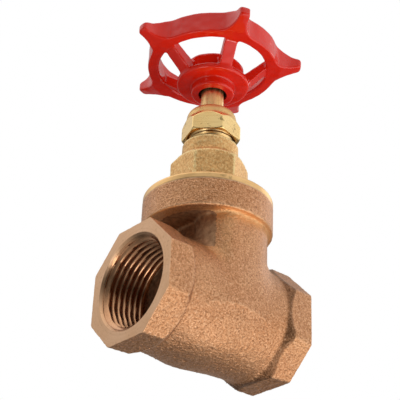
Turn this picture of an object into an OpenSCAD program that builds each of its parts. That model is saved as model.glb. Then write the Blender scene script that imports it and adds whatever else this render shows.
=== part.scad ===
// Globe valve with female threaded ends, screwed bonnet and lobed handwheel.
// Millimetres. Origin where the pipe axis (X) crosses the stem axis (Z).
// Inlet at -X, outlet at +X, handwheel at +Z. Modelled in the closed position.

/* [Ends] */
// Length over both threaded ends
end_to_end = 50.5; // [50:0.1:54]
// Width across the flats of the octagonal ends
end_flats = 33; // [33:0.1:35]
// Axial width of each end octagon along its flats
octagon_width = 8.4; // [7.6:0.1:8.8]
// Radius of the pipe thread wall (thread crests)
port_r = 12.06; // [11.6:0.01:12.3]
// Length of the pipe thread from the end face
port_depth = 14; // [13.4:0.1:14.2]
// Radius of the chamfer at the mouth of each port
mouth_r = 13.74; // [13.2:0.01:14.2]

/* [Body] */
// Largest radius of the barrel
barrel_r = 16.4; // [15.8:0.1:16.4]
// Radius inside the barrel
chamber_r = 13.4; // [12.8:0.1:13.6]
// Radius of the neck on its outlet side
neck_r = 17.2; // [16.8:0.1:17.8]
// Radius of the collar round the top
collar_r = 18.71; // [18.3:0.01:19.6]
// Height of the collar's underside above the pipe axis
collar_z = 22.8; // [21.5:0.1:22.9]
// Height of the collar's top face
collar_top = 31.1; // [30.8:0.1:31.3]
// Radius of the hole in the seat ring
seat_bore_r = 5.9; // [5.6:0.1:6.1]

/* [Bonnet] */
// Thickness of the bonnet flange
flange_t = 1.9; // [1.4:0.1:2.4]
// Width across the flats of the bonnet hexagon
bonnet_flats = 20; // [19:0.1:21]
// Radius of the plain cylinder above the hexagon
bonnet_top_r = 8; // [7.6:0.1:8.4]

/* [Stem and gland] */
// Radius of the plain spindle
stem_r = 3.41; // [3.2:0.01:3.45]
// Radius of the stem thread
stem_thread_r = 4.6; // [4.3:0.1:5]
// Lift of the disc between closed and open
lift = 6.5; // [5:0.1:6.5]
// Width across the flats of the gland nut
gland_flats = 15.35; // [15:0.05:16]

/* [Handwheel] */
// Radius to the ends of the finger lobes
lobe_r = 27.2; // [26.6:0.1:28]
// Inner radius of the rim
rim_in_r = 16.4; // [15.8:0.1:16.8]
// Outer radius of the rim between lobes
rim_out_r = 19.7; // [19.4:0.1:19.8]
// Width of each spoke
spoke_w = 3.2; // [2.6:0.1:4]
// Radius of the hub above its disc
hub_r = 9.2; // [8.6:0.1:9.8]
// Angle of the first lobe about the stem axis
wheel_angle = 33.8; // [0:0.1:72]

/* [Hidden] */
$fn = 64;
c = 0.05;          // running clearance, radial
e = end_to_end / 2;
ap = end_flats / 2;
oct_r = ap / cos(22.5);
fl_z = collar_top + flange_t;   // top of the bonnet flange
seat_z = 3.0;                   // seat face
lug_n = 5;

bronze = [0.72, 0.50, 0.35];
brass = [0.80, 0.66, 0.38];
spindle = [0.74, 0.55, 0.38];
red = [0.72, 0.09, 0.05];
steel = [0.66, 0.66, 0.66];
ptfe = [0.92, 0.92, 0.90];
graphite = [0.12, 0.12, 0.13];

module along_x() { rotate([0, 90, 0]) children(); }
module hex(af, z0, z1) { translate([0, 0, z0]) cylinder(r = af / 2 / cos(30), h = z1 - z0, $fn = 6); }
module ring(ro, ri, z0, z1) {
  difference() {
    translate([0, 0, z0]) cylinder(r = ro, h = z1 - z0);
    translate([0, 0, z0 - 1]) cylinder(r = ri, h = z1 - z0 + 2);
  }
}

// ---------- body ----------
module octagon(x0, x1) {
  translate([x0, 0, 0]) along_x() rotate([0, 0, 22.5]) cylinder(r = oct_r, h = x1 - x0, $fn = 8);
}
module end_octagon() {
  // inlet end: octagon whose back edge is coned
  intersection() {
    octagon(-e, -e + octagon_width);
    along_x() rotate_extrude() polygon([[0, -e - 1], [oct_r + 1, -e - 1], [oct_r + 1, -e + octagon_width - 2.65],
      [ap - 0.1, -e + octagon_width + 0.2], [0, -e + octagon_width + 0.2]]);
  }
}
module body_outside() {
  end_octagon();
  mirror([1, 0, 0]) end_octagon();
  // barrel, slightly bulged
  along_x() rotate_extrude() polygon([[0, -e + 3], [barrel_r - 0.3, -e + 3], [barrel_r - 0.25, -14], [barrel_r, -8],
    [barrel_r, -2], [barrel_r - 0.12, 6], [barrel_r - 0.2, 14], [barrel_r - 0.3, e - 3], [0, e - 3]]);
  // neck: round on the outlet side, cut in flat on the inlet side
  intersection() {
    cylinder(r = neck_r, h = collar_z + 1);
    rotate([0, 0, -7.5]) translate([-7.2, -25, -1]) cube([40, 50, 40]);
    translate([-25, -(neck_r - 0.7), -1]) cube([50, 2 * (neck_r - 0.7), 40]);
  }
  intersection() {
    cylinder(r = neck_r, h = collar_z + 1);
    rotate([0, 0, 7.5]) translate([-7.2, 0, -1]) cube([40, 50, 40]);
    translate([-25, -(neck_r - 0.7), -1]) cube([50, 2 * (neck_r - 0.7), 40]);
  }
  cylinder(r = 9.9, h = collar_z + 1);
  // collar
  rotate_extrude() polygon([[0, collar_z], [collar_r - 0.7, collar_z], [collar_r - 0.2, collar_z + 0.2],
    [collar_r, collar_z + 0.7], [collar_r, collar_top], [0, collar_top]]);
}
module port() {
  // thread wall and mouth chamfer, opening towards +X
  translate([e - port_depth, 0, 0]) along_x() cylinder(r = port_r, h = port_depth + 1);
  translate([e - (mouth_r - port_r), 0, 0]) along_x() cylinder(r1 = port_r, r2 = mouth_r + 1, h = mouth_r - port_r + 1);
}
module body_chambers() {
  difference() {
    translate([-(e - port_depth) - 0.01, 0, 0]) along_x() cylinder(r = chamber_r, h = 2 * (e - port_depth) + 0.02);
    // partition between inlet and outlet
    rotate([90, 0, 0]) translate([0, 0, -20]) linear_extrude(40)
      polygon([[-10.2, 16], [-8.0, 16], [-8.0, 1.4], [10.2, 1.4], [10.2, -16], [8.0, -16], [8.0, -1.4], [-10.2, -1.4]]);
  }
  // way up through the neck
  translate([0, 0, 1.4]) cylinder(r = 7.8, h = 40);
  intersection() {
    translate([0, 0, 1.4]) cylinder(r = 12.6, h = 40);
    translate([-5, -13.6, 0]) cube([15.8, 27.2, 60]);
  }
}
module body() {
  color(bronze) difference() {
    body_outside();
    port();
    mirror([1, 0, 0]) port();
    body_chambers();
    translate([0, 0, -4]) cylinder(r = 7.0, h = 8);                   // seat ring hole
    translate([0, 0, 25.4]) cylinder(r = 15.0, h = 20);               // bonnet thread
  }
}
module seat_ring() {
  color(brass) difference() {
    union() {
      translate([0, 0, -1.4]) cylinder(r = 6.97, h = 3.2);
      translate([0, 0, 1.4]) cylinder(r = 7.7, h = 1.0);
      translate([0, 0, 2.0]) cylinder(r = 6.8, h = seat_z - 2.0);
    }
    translate([0, 0, -3]) cylinder(r = seat_bore_r, h = 8);
  }
}
module bonnet_gasket() { color(graphite) ring(14.95, 12.8, 25.4, 26.2); }

// ---------- bonnet ----------
module bonnet() {
  color(brass) difference() {
    union() {
      translate([0, 0, 26.2]) cylinder(r = 14.96, h = collar_top - 25.2);
      translate([0, 0, collar_top]) cylinder(r = 18.7, h = flange_t);
      // hexagon with a coned top
      intersection() {
        rotate([0, 0, 28.1]) hex(bonnet_flats, fl_z - 1, 48.6);
        rotate_extrude() polygon([[0, fl_z - 2], [14, fl_z - 2], [14, 42.8], [bonnet_top_r, 48.6], [bonnet_top_r, 49], [0, 49]]);
      }
      translate([0, 0, 40]) cylinder(r = bonnet_top_r, h = 11.6);
      translate([0, 0, 50]) cylinder(r = 6.7, h = 6);                 // gland nut thread
    }
    // cavity above the disc
    rotate_extrude() polygon([[0, 22], [11.6, 22], [11.6, 27.5], [9.6, 29.8], [0, 29.8]]);
    // stem thread, back seat, spindle guide, stuffing box
    rotate_extrude() polygon([[0, 26], [stem_thread_r + c, 26], [stem_thread_r + c, 36.5 + lift + c],
      [stem_r + c, 37.7 + lift + c], [stem_r + c, 46.5], [5.2, 46.5], [5.2, 60], [0, 60]]);
  }
}

// ---------- stem and disc ----------
module stem() {
  color(spindle) {
    rotate_extrude() polygon([[0, 7.7], [2.9, 7.7], [3.2, 8.0], [3.2, 9.1], [2.9, 9.4], [2.2, 9.4], [2.2, 14.0],
      [3.6, 14.0], [stem_thread_r, 15.0], [stem_thread_r, 36.5], [stem_r, 37.7], [stem_r, 74.2], [0, 74.2]]);
    translate([-2.35, -2.35, 74]) cube([4.7, 4.7, 3.4]);
    translate([0, 0, 77.2]) cylinder(r = 2.4, h = 5.6);
  }
}
module disc_holder() {
  color(brass) difference() {
    union() {
      translate([0, 0, 3.6]) cylinder(r = 7.5, h = 2.6);
      translate([0, 0, 6]) cylinder(r = 5.4, h = 5.0);
    }
    difference() {
      translate([0, 0, 2]) cylinder(r = 7.02, h = 3.0);
      translate([0, 0, 1]) cylinder(r = 2.0, h = 5);
    }
    translate([0, 0, 7.6]) cylinder(r = 3.25, h = 4);
    translate([0, 0, 9.6]) cylinder(r = 4.0, h = 4);
  }
  color(brass) translate([0, 0, 0.2]) cylinder(r = 2.0, h = 4.9);
}
module seat_disc() { color(ptfe) ring(7.0, 2.03, seat_z, 5.0); }
module seat_disc_washer() { color(steel) ring(5.2, 2.03, 2.4, seat_z); }
module seat_disc_nut() {
  color(brass) difference() { hex(6, 0.6, 2.4); translate([0, 0, -1]) cylinder(r = 2.03, h = 5); }
}
module disc_retaining_nut() {
  color(brass) difference() {
    union() {
      translate([0, 0, 9.6]) cylinder(r = 3.97, h = 2);
      hex(9.4, 11.0, 13.2);
    }
    translate([0, 0, 8]) cylinder(r = 2.2 + c, h = 8);
  }
}

// ---------- stuffing box ----------
module packing_washer() { color(brass) ring(5.17, stem_r + c, 46.5, 47.3); }
module packing_ring(z) { color(graphite) ring(5.17, stem_r + c, z, z + 2); }
module packing_ring_lower() { packing_ring(47.3); }
module packing_ring_middle() { packing_ring(49.3); }
module packing_ring_upper() { packing_ring(51.3); }
module gland_follower() {
  color(brass) {
    difference() {
      union() {
        translate([0, 0, 53.3]) cylinder(r = 5.2 - c, h = 4.2);
        translate([0, 0, 57.0]) cylinder(r = 6.3, h = 1.6);
      }
      translate([0, 0, 50]) cylinder(r = stem_r + c, h = 12);
    }
  }
}
module gland_nut() {
  color(brass) difference() {
    intersection() {
      rotate([0, 0, 12.5]) hex(gland_flats, 53.96, 63.7);
      rotate_extrude() polygon([[0, 53], [8.3, 53], [9.4, 54.6], [9.4, 58.6], [7.42, 62.4], [6.95, 63.3], [6.2, 63.7], [0, 63.7]]);
    }
    translate([0, 0, 50]) cylinder(r = 6.7 + c, h = 8.6);
    translate([0, 0, 50]) cylinder(r = stem_r + 0.3, h = 20);
  }
}

// ---------- handwheel ----------
module lobe_plan() {
  // finger lobe along +X: its flanks are hollow arcs that run out into the rim
  difference() {
    polygon([[16.5, -7.0], [20.5, -8.4], [25, -3.6], [lobe_r - 0.7, -1.9], [lobe_r, -1.2],
      [lobe_r, 1.2], [lobe_r - 0.7, 1.9], [25, 3.6], [20.5, 8.4], [16.5, 7.0]]);
    for (s = [-1, 1]) translate([26.0, s * 10.7]) circle(r = 9.05);
  }
}
module lobed_rim() {
  intersection() {
    translate([0, 0, 78]) linear_extrude(10) {
      circle(r = rim_out_r);
      for (i = [0 : lug_n - 1]) rotate([0, 0, wheel_angle + 360 / lug_n * i]) lobe_plan();
    }
    // section of the rim and its lobes, thinner towards the lobe ends
    rotate_extrude() polygon([[rim_in_r, 79.7], [rim_in_r + 0.5, 79.2], [20.6, 79.2], [24, 80.1], [lobe_r - 0.4, 81.0],
      [lobe_r + 0.4, 81.5], [lobe_r + 0.4, 83.2], [lobe_r - 0.4, 83.7], [24, 84.4], [20.9, 85.8], [18.9, 86.3],
      [rim_in_r + 0.8, 86.3], [rim_in_r, 85.5]]);
  }
}
module handwheel() {
  color(red) difference() {
    union() {
      lobed_rim();
      // sloped spokes
      for (i = [0 : lug_n - 1]) rotate([0, 0, wheel_angle + 360 / lug_n * i])
        translate([0, spoke_w / 2, 0]) rotate([90, 0, 0]) linear_extrude(spoke_w)
          polygon([[8.6, 73.8], [10.0, 73.8], [17.4, 80.3], [17.4, 82.6], [14.5, 81.4], [8.6, 77.2]]);
      // boss, disc and hub
      rotate_extrude() polygon([[0, 70.5], [6.1, 70.5], [6.48, 70.9], [6.48, 73.3], [10.3, 73.3], [10.9, 73.8],
        [10.9, 74.6], [10.4, 75.1], [hub_r, 75.1], [hub_r, 79.4], [hub_r - 0.5, 79.9], [0, 79.9]]);
    }
    translate([0, 0, 70]) cylinder(r = 3.8, h = 4.2);
    translate([-2.37, -2.37, 73]) cube([4.74, 4.74, 10]);
    translate([0, 0, 77.6]) cylinder(r = 8.0, h = 5);                // recess round the nut
  }
}
module identification_plate() { color(steel) ring(7.5, 3.7, 77.6, 78.0); }
module handwheel_washer() { color(steel) ring(5.6, 3.7, 78.0, 78.8); }
module handwheel_nut() {
  color(steel) difference() {
    intersection() {
      hex(8, 78.8, 82.0);
      rotate_extrude() polygon([[0, 78], [4.7, 78], [4.7, 81.5], [4.0, 82.0], [0, 82.0]]);
    }
    translate([0, 0, 77]) cylinder(r = 2.43, h = 7);
  }
}

body();
seat_ring();
bonnet_gasket();
bonnet();
stem();
disc_holder();
seat_disc();
seat_disc_washer();
seat_disc_nut();
disc_retaining_nut();
packing_washer();
packing_ring_lower();
packing_ring_middle();
packing_ring_upper();
gland_follower();
gland_nut();
handwheel();
identification_plate();
handwheel_washer();
handwheel_nut();
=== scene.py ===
# Globe valve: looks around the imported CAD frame. Lengths in the helpers are millimetres, objects are in metres.
import math

import bmesh
import bpy
import numpy as np
from mathutils import Matrix, Vector


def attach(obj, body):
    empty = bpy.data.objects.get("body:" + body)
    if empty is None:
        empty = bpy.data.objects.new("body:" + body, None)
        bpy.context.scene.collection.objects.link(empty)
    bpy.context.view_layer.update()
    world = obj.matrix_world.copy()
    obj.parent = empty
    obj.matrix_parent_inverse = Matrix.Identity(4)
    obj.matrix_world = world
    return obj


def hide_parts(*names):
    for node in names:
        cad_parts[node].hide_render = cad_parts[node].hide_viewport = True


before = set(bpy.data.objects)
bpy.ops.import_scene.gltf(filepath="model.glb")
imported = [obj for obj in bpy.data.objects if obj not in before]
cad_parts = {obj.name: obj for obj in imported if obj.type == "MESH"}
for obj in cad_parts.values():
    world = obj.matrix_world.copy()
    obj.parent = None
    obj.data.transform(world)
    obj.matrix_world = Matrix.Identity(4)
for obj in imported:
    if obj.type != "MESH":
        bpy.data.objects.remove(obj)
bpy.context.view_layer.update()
scene = bpy.context.scene
scene.view_settings.view_transform = "Standard"

MM = 0.001
SQ = np.sqrt

# ------------------------------------------------------------------ camera
FOCAL_PX, FRAME_PX = 1221.05, 400.0
AZ, EL, ROLL = math.radians(-40.389), math.radians(-29.659), math.radians(2.034)
CAM_T = (-5.397, -32.961, 334.462)
PRINCIPAL = (223.203, 188.924)


def make_camera():
    back = Vector((math.sin(AZ) * math.cos(EL), -math.cos(AZ) * math.cos(EL), math.sin(EL)))
    ahead = -back
    right0 = ahead.cross(Vector((0, 0, 1))).normalized()
    up0 = right0.cross(ahead)
    right = math.cos(ROLL) * right0 + math.sin(ROLL) * up0
    up = -math.sin(ROLL) * right0 + math.cos(ROLL) * up0
    place = -(right * CAM_T[0] + up * CAM_T[1] + ahead * CAM_T[2]) * MM
    data = bpy.data.cameras.new("camera")
    data.sensor_width = 36.0
    data.lens = FOCAL_PX * 36.0 / FRAME_PX
    data.clip_start = 0.01
    data.shift_x = -(PRINCIPAL[0] - FRAME_PX / 2) / FRAME_PX
    data.shift_y = (PRINCIPAL[1] - FRAME_PX / 2) / FRAME_PX
    obj = bpy.data.objects.new("camera", data)
    scene.collection.objects.link(obj)
    m = Matrix.Identity(4)
    for i in range(3):
        m[i][0], m[i][1], m[i][2], m[i][3] = right[i], up[i], back[i], place[i]
    obj.matrix_world = m
    scene.camera = obj


make_camera()


# ------------------------------------------------------------------ mesh helpers
def new_object(name, verts, faces):
    mesh = bpy.data.meshes.new(name)
    mesh.from_pydata([tuple(v) for v in verts], [], faces)
    mesh.validate()
    mesh.update()
    obj = bpy.data.objects.new(name, mesh)
    scene.collection.objects.link(obj)
    return obj


def fast_object(name, verts, quads):
    """A mesh object from an (n,3) array in mm and an (m,4) array of quads."""
    mesh = bpy.data.meshes.new(name)
    verts = np.asarray(verts, np.float32) * MM
    mesh.vertices.add(len(verts))
    mesh.vertices.foreach_set("co", verts.ravel())
    mesh.loops.add(quads.size)
    mesh.loops.foreach_set("vertex_index", quads.astype(np.int32).ravel())
    mesh.polygons.add(len(quads))
    mesh.polygons.foreach_set("loop_start", np.arange(0, quads.size, 4, dtype=np.int32))
    mesh.update(calc_edges=True)
    mesh.validate()
    obj = bpy.data.objects.new(name, mesh)
    scene.collection.objects.link(obj)
    return obj


def smooth(obj, degrees=30.0):
    mesh = obj.data
    mesh.polygons.foreach_set("use_smooth", np.ones(len(mesh.polygons), bool))
    mesh.set_sharp_from_angle(angle=math.radians(degrees))
    mesh.update()


def boolean(obj, tool, op="DIFFERENCE"):
    """Apply a boolean with tool, then drop tool."""
    done = None
    for solver in ("MANIFOLD", "EXACT"):
        mod = obj.modifiers.new("cut", "BOOLEAN")
        mod.operation = op
        mod.object = tool
        mod.solver = solver
        bpy.context.view_layer.update()
        deps = bpy.context.evaluated_depsgraph_get()
        done = bpy.data.meshes.new_from_object(obj.evaluated_get(deps))
        obj.modifiers.remove(mod)
        changed = len(done.polygons) > 3 and len(done.vertices) != len(obj.data.vertices)
        if changed:
            break
        print("boolean", obj.name, tool.name, solver, "had no effect")
    old = obj.data
    obj.data = done
    bpy.data.meshes.remove(old)
    bpy.data.objects.remove(tool)
    return obj


def ring_grid(r_out, z_out, r_in=None, z_in=None, axis="Z", phase=0.0, name="grid"):
    """Closed solid of revolution-like shape. r_* and z_* are (rows, nt) arrays in mm, rows from low to high along the axis."""
    r_out, z_out = np.asarray(r_out, float), np.asarray(z_out, float)
    nt = r_out.shape[1]
    th = phase + np.arange(nt) * 2 * np.pi / nt

    def points(r, z):
        p = np.stack([r * np.cos(th), r * np.sin(th), z], -1).reshape(-1, 3)
        return p[:, [2, 0, 1]] if axis == "X" else p

    def strips(base, rows, flip):
        i, j = np.meshgrid(np.arange(rows - 1), np.arange(nt), indexing="ij")
        a = base + i * nt + j
        b = base + i * nt + (j + 1) % nt
        c, d = b + nt, a + nt
        q = np.stack([a, b, c, d], -1).reshape(-1, 4)
        return q[:, ::-1] if flip else q

    verts = [points(r_out, z_out)]
    rows = r_out.shape[0]
    quads = [strips(0, rows, False)]
    tris = []
    if r_in is None:
        n0 = rows * nt
        zc = np.array([[0, 0, z_out[0].mean()], [0, 0, z_out[-1].mean()]])
        verts.append(zc[:, [2, 0, 1]] if axis == "X" else zc)
        for j in range(nt):
            tris.append((n0, (j + 1) % nt, j))
            tris.append((n0 + 1, (rows - 1) * nt + j, (rows - 1) * nt + (j + 1) % nt))
    else:
        r_in, z_in = np.asarray(r_in, float), np.asarray(z_in, float)
        base = rows * nt
        verts.append(points(r_in, z_in))
        rin = r_in.shape[0]
        quads.append(strips(base, rin, True))
        j = np.arange(nt)
        k = (j + 1) % nt
        quads.append(np.stack([k, j, base + j, base + k], -1))
        top, ti = (rows - 1) * nt, base + (rin - 1) * nt
        quads.append(np.stack([top + j, top + k, ti + k, ti + j], -1))
    verts = np.concatenate(verts) * MM
    faces = [tuple(int(v) for v in q) for q in np.concatenate(quads)] + tris
    obj = new_object(name, verts, faces)
    bm = bmesh.new()
    bm.from_mesh(obj.data)
    bmesh.ops.remove_doubles(bm, verts=bm.verts, dist=2e-7)
    bmesh.ops.dissolve_degenerate(bm, edges=bm.edges, dist=1e-7)
    bmesh.ops.recalc_face_normals(bm, faces=bm.faces)
    bm.to_mesh(obj.data)
    bm.free()
    return obj


def lathe(profile, nt=96, axis="Z", name="lathe"):
    """Solid of revolution from a profile of (radius, height) rows, closed on the axis."""
    p = np.asarray(profile, float)
    r = np.repeat(p[:, :1], nt, 1)
    z = np.repeat(p[:, 1:], nt, 1)
    return ring_grid(r, z, axis=axis, name=name)


def lathe_ring(outer, inner, nt=96, name="ring"):
    o, i = np.asarray(outer, float), np.asarray(inner, float)
    rep = lambda a, k: np.repeat(a[:, k : k + 1], nt, 1)
    return ring_grid(rep(o, 0), rep(o, 1), rep(i, 0), rep(i, 1), name=name)


# ------------------------------------------------------------------ distance-field helpers (mm)
def smin(a, b, k):
    h = np.maximum(k - np.abs(a - b), 0.0) / k
    return np.minimum(a, b) - h * h * k * 0.25


def smax(a, b, k):
    return -smin(-a, -b, k)


def noise_volume(shape, h, low, high, seed):
    """Band-passed noise on a grid, unit deviation. low and high are wavelengths in mm."""
    rng = np.random.RandomState(seed)
    spec = np.fft.rfftn(rng.standard_normal(shape).astype(np.float32))
    f = [np.fft.fftfreq(n, h) for n in shape[:2]] + [np.fft.rfftfreq(shape[2], h)]
    ff = SQ(f[0][:, None, None] ** 2 + f[1][None, :, None] ** 2 + f[2][None, None, :] ** 2)
    band = np.exp(-((ff * low) ** 2)) * (1 - np.exp(-((ff * high) ** 2)))
    out = np.fft.irfftn(spec * band, s=shape)
    return (out / out.std()).astype(np.float32)


def trilinear(vol, p, lo, h):
    q = (p - lo) / h
    i = np.clip(np.floor(q).astype(int), 0, np.array(vol.shape) - 2)
    t = q - i
    out = 0.0
    for a in (0, 1):
        for b in (0, 1):
            for c in (0, 1):
                w = (t[:, 0] if a else 1 - t[:, 0]) * (t[:, 1] if b else 1 - t[:, 1]) * (t[:, 2] if c else 1 - t[:, 2])
                out = out + w * vol[i[:, 0] + a, i[:, 1] + b, i[:, 2] + c]
    return out


def unpinch(dist, h):
    """Fills the open corners of chequered grid faces, so that no two sheets of the surface share an edge."""
    for _ in range(12):
        inside = dist < 0
        found = 0
        for u, v in ((0, 1), (0, 2), (1, 2)):
            part = []
            for a, b in ((0, 0), (1, 1), (1, 0), (0, 1)):
                cut = [slice(None)] * 3
                cut[u], cut[v] = slice(a, None if a else -1), slice(b, None if b else -1)
                part.append(tuple(cut))
            for i, j in ((0, 2), (2, 0)):
                bad = inside[part[i]] & inside[part[i + 1]] & ~inside[part[j]] & ~inside[part[j + 1]]
                if bad.any():
                    found += int(bad.sum())
                    dist[part[j]][bad] = -0.01 * h
                    dist[part[j + 1]][bad] = -0.01 * h
        if not found:
            break
        print("unpinch", found)


def surface_net(field, lo, hi, h, rough=None, name="net", settle=2):
    """Mesh of the zero surface of field(x, y, z), negative inside. rough is (volume, amplitude function) or None."""
    lo = np.array(lo, float)
    n = tuple(int(math.ceil((b - a) / h)) + 1 for a, b in zip(lo, hi))
    ax = [lo[k] + h * np.arange(n[k]) for k in range(3)]
    dist = np.empty(n, np.float32)
    vol = None
    if rough:
        vol = rough[0](n, h)
    for s in range(0, n[0], 24):
        x = ax[0][s : s + 24][:, None, None]
        y, z = ax[1][None, :, None], ax[2][None, None, :]
        d = field(x, y, z)
        if vol is not None:
            d = d + vol[s : s + 24] * rough[1](x, y, z)
        dist[s : s + 24] = d
    unpinch(dist, h)
    inside = dist < 0
    corners = [(a, b, c) for a in (0, 1) for b in (0, 1) for c in (0, 1)]
    cut = tuple(k - 1 for k in n)
    count = np.zeros(cut, np.int8)
    for a, b, c in corners:
        count += inside[a : a + cut[0], b : b + cut[1], c : c + cut[2]]
    mixed = (count > 0) & (count < 8)
    cells = np.argwhere(mixed)
    ids = np.full(cut, -1, np.int32)
    ids[mixed] = np.arange(len(cells))
    total = np.zeros((len(cells), 3))
    hits = np.zeros(len(cells))
    for a in corners:
        for k in range(3):
            if a[k] == 0:
                b = tuple(a[i] + (1 if i == k else 0) for i in range(3))
                da = dist[cells[:, 0] + a[0], cells[:, 1] + a[1], cells[:, 2] + a[2]].astype(float)
                db = dist[cells[:, 0] + b[0], cells[:, 1] + b[1], cells[:, 2] + b[2]].astype(float)
                cross = (da < 0) != (db < 0)
                t = np.where(cross, da / np.where(cross, da - db, 1.0), 0.0)
                pt = np.array(a, float)[None, :] + t[:, None] * (np.array(b, float) - np.array(a, float))[None, :]
                total += np.where(cross[:, None], pt, 0.0)
                hits += cross
    verts = (cells + total / hits[:, None]) * h + lo
    quads = []
    for k in range(3):
        u, v = (k + 1) % 3, (k + 2) % 3
        sl_a = [slice(1, -1)] * 3
        sl_b = [slice(1, -1)] * 3
        sl_a[k], sl_b[k] = slice(0, -1), slice(1, None)
        ia, ib = inside[tuple(sl_a)], inside[tuple(sl_b)]
        where = np.argwhere(ia != ib)
        first = ia[where[:, 0], where[:, 1], where[:, 2]]
        base = where + 1
        base[:, k] -= 1
        eu, ev = np.eye(3, dtype=int)[u], np.eye(3, dtype=int)[v]
        c = [base - eu - ev, base - ev, base, base - eu]
        q = np.stack([ids[p[:, 0], p[:, 1], p[:, 2]] for p in c], -1)
        q[~first] = q[~first][:, ::-1]
        quads.append(q)
    quads = np.concatenate(quads)

    def full(p):
        d = field(p[:, 0], p[:, 1], p[:, 2])
        if vol is not None:
            d = d + trilinear(vol, p, lo, h) * rough[1](p[:, 0], p[:, 1], p[:, 2])
        return d

    eps = h * 0.15
    for _ in range(settle):
        d0 = full(verts)
        g = np.stack([(full(verts + np.eye(3)[k] * eps) - full(verts - np.eye(3)[k] * eps)) / (2 * eps) for k in range(3)], -1)
        length = np.maximum((g * g).sum(-1), 0.05)
        step = -(d0 / length)[:, None] * g
        big = SQ((step * step).sum(-1))
        step *= np.minimum(1.0, 0.4 * h / np.maximum(big, 1e-9))[:, None]
        verts = verts + step
    return fast_object(name, verts, quads)


def polar(x, y):
    return SQ(x * x + y * y)


# ------------------------------------------------------------------ body
END_X, AP = 25.25, 16.5
PORT_R, ROOT_R, PITCH, MOUTH_R = 12.06, 13.22, 1.814, 13.74
FINE = 0.35


def octagon(y, z, ap, k=0.45):
    c = math.sqrt(0.5)
    a = smax(np.abs(y), np.abs(z), k)
    b = smax(np.abs(c * (y + z)), np.abs(c * (y - z)), k)
    return smax(a, b, k) - ap


def end_octagon(y, z, far, near):
    """Octagon whose lower slanted flats stand out by far (y > 0) and near (y < 0)."""
    ya, za = np.abs(y), np.abs(z)
    slant = (ya + za) * 0.70711 - AP - np.where(z < 0, np.where(y > 0, far, near), 0.0)
    return smax(smax(ya - AP, za - AP, 0.35), slant, 0.35)


def body_outside(x, y, z):
    r = polar(y, z)
    rz = polar(x, y)
    # the barrel swells in the middle, most of all at its lower corners
    low_corner = np.exp(-(((np.arctan2(np.abs(y), -z) - 0.54) / 0.34) ** 2))
    barrel_r = 16.25 + (0.25 + 0.95 * low_corner) * np.exp(-(((x + 3.0) / 8.5) ** 2))
    barrel = np.maximum(r - barrel_r, np.abs(x) - 22)
    draft = np.clip((np.abs(x) - 16.9) / 8.35, 0, 1)
    # octagons, both coned at the edge towards the barrel
    inlet = smax(smax(end_octagon(y, z, 0.25 + 0.5 * draft, 0.0), (x + 16.9) * 0.669 + (r - 16.5) * 0.743, 0.35), x + 16.85, 0.3)
    outlet = smax(end_octagon(y, z, 0.3, 0.1 + 0.65 * draft), (16.9 - x) * 0.56 + (r - 16.4) * 0.828, 0.3)
    d = smin(barrel, outlet, 0.15 + 1.5 * np.clip((-9 - z) / 6, 0, 1))
    # neck: round on the outlet side, with a hollowed wall towards the inlet
    ya = np.abs(y)
    wall = (-7.4 - 1.8 * np.exp(-(((ya - 9.0) / 4.5) ** 2)) - x) * 0.93
    side = ya - 16.5 + 0.03 * np.maximum(6.0 - z, 0) ** 2
    plan = smax(smax(rz - 17.2, side, 1.2), wall, 5.0)
    neck = np.maximum(np.maximum(plan, z - 24), -2 - z)
    # the passage bulges out of that wall and widens down into the barrel
    hump = (rz - 7.7 - 0.24 * (22.8 - z)) * 0.97
    hump = np.maximum(np.maximum(hump, z - 24), -2 - z)
    d = smin(d, hump, 5.0)
    d = smin(d, neck, 1.6 + 1.2 * np.clip((x + 4) / 10, 0, 1))
    # collar
    collar = smax(smax(rz - 18.71, 22.8 - z, 0.55), z - 34, 0.3)
    d = smin(d, collar, 1.1)
    return smin(d, inlet, 0.22)


def box_xz(x, z, x0, x1, z0, z1):
    return np.maximum(np.maximum(x0 - x, x - x1), np.maximum(z0 - z, z - z1))


def body_inside(x, y, z):
    r = polar(y, z)
    rz = polar(x, y)
    wall = smin(smin(box_xz(x, z, -10.2, -8.0, -1.4, 17), box_xz(x, z, -10.2, 10.2, -1.4, 1.4), 1.6),
                box_xz(x, z, 8.0, 10.2, -17, 1.4), 1.6)
    hollow = smax(smax(r - 13.4, np.abs(x) - 11.6, 1.2), -wall, 0.8)
    way = smax(rz - 7.8 + 0.24 * np.maximum(z - 13, 0), 1.4 - z, 0.5)
    side = smax(smax(smax(rz - 12.6, -5 - x, 1.5), x - 10.8, 1.5), 1.4 - z, 1.0)
    way = np.maximum(smin(way, side, 0.8), z - 27)
    return smin(hollow, way, 0.8)


def body_field(x, y, z):
    return np.maximum(smax(body_outside(x, y, z), -body_inside(x, y, z), 0.4), np.abs(x) - 26.4)


def body_grain(n, h):
    fine = noise_volume(n, h, 0.5, 1.15, 11)
    lump = noise_volume(n, h, 2.0, 6.0, 12)
    return fine + 0.3 * lump


def body_grain_amount(x, y, z):
    # the sand texture is stronger under the barrel, fainter on the neck
    r = polar(y, z)
    low = np.clip((4.0 - z) / 16.0, 0, 1)
    neck = np.clip((z - 14.0) / 5.0, 0, 1)
    plain = np.exp(-(((x - 1.5) / 7.5) ** 4) - (((z - 4.5) / 8.5) ** 4)) * (y < 0)
    return (0.044 + 0.030 * low - 0.004 * neck) * (1 - 0.6 * plain) * np.ones_like(r + x)


def thread_wave(phase, sharp=0.86):
    """Rounded triangular wave from 0 (crest) to 1 (root)."""
    return 0.5 + np.arcsin(sharp * np.cos(2 * np.pi * phase)) / (2 * math.asin(sharp))


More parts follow.
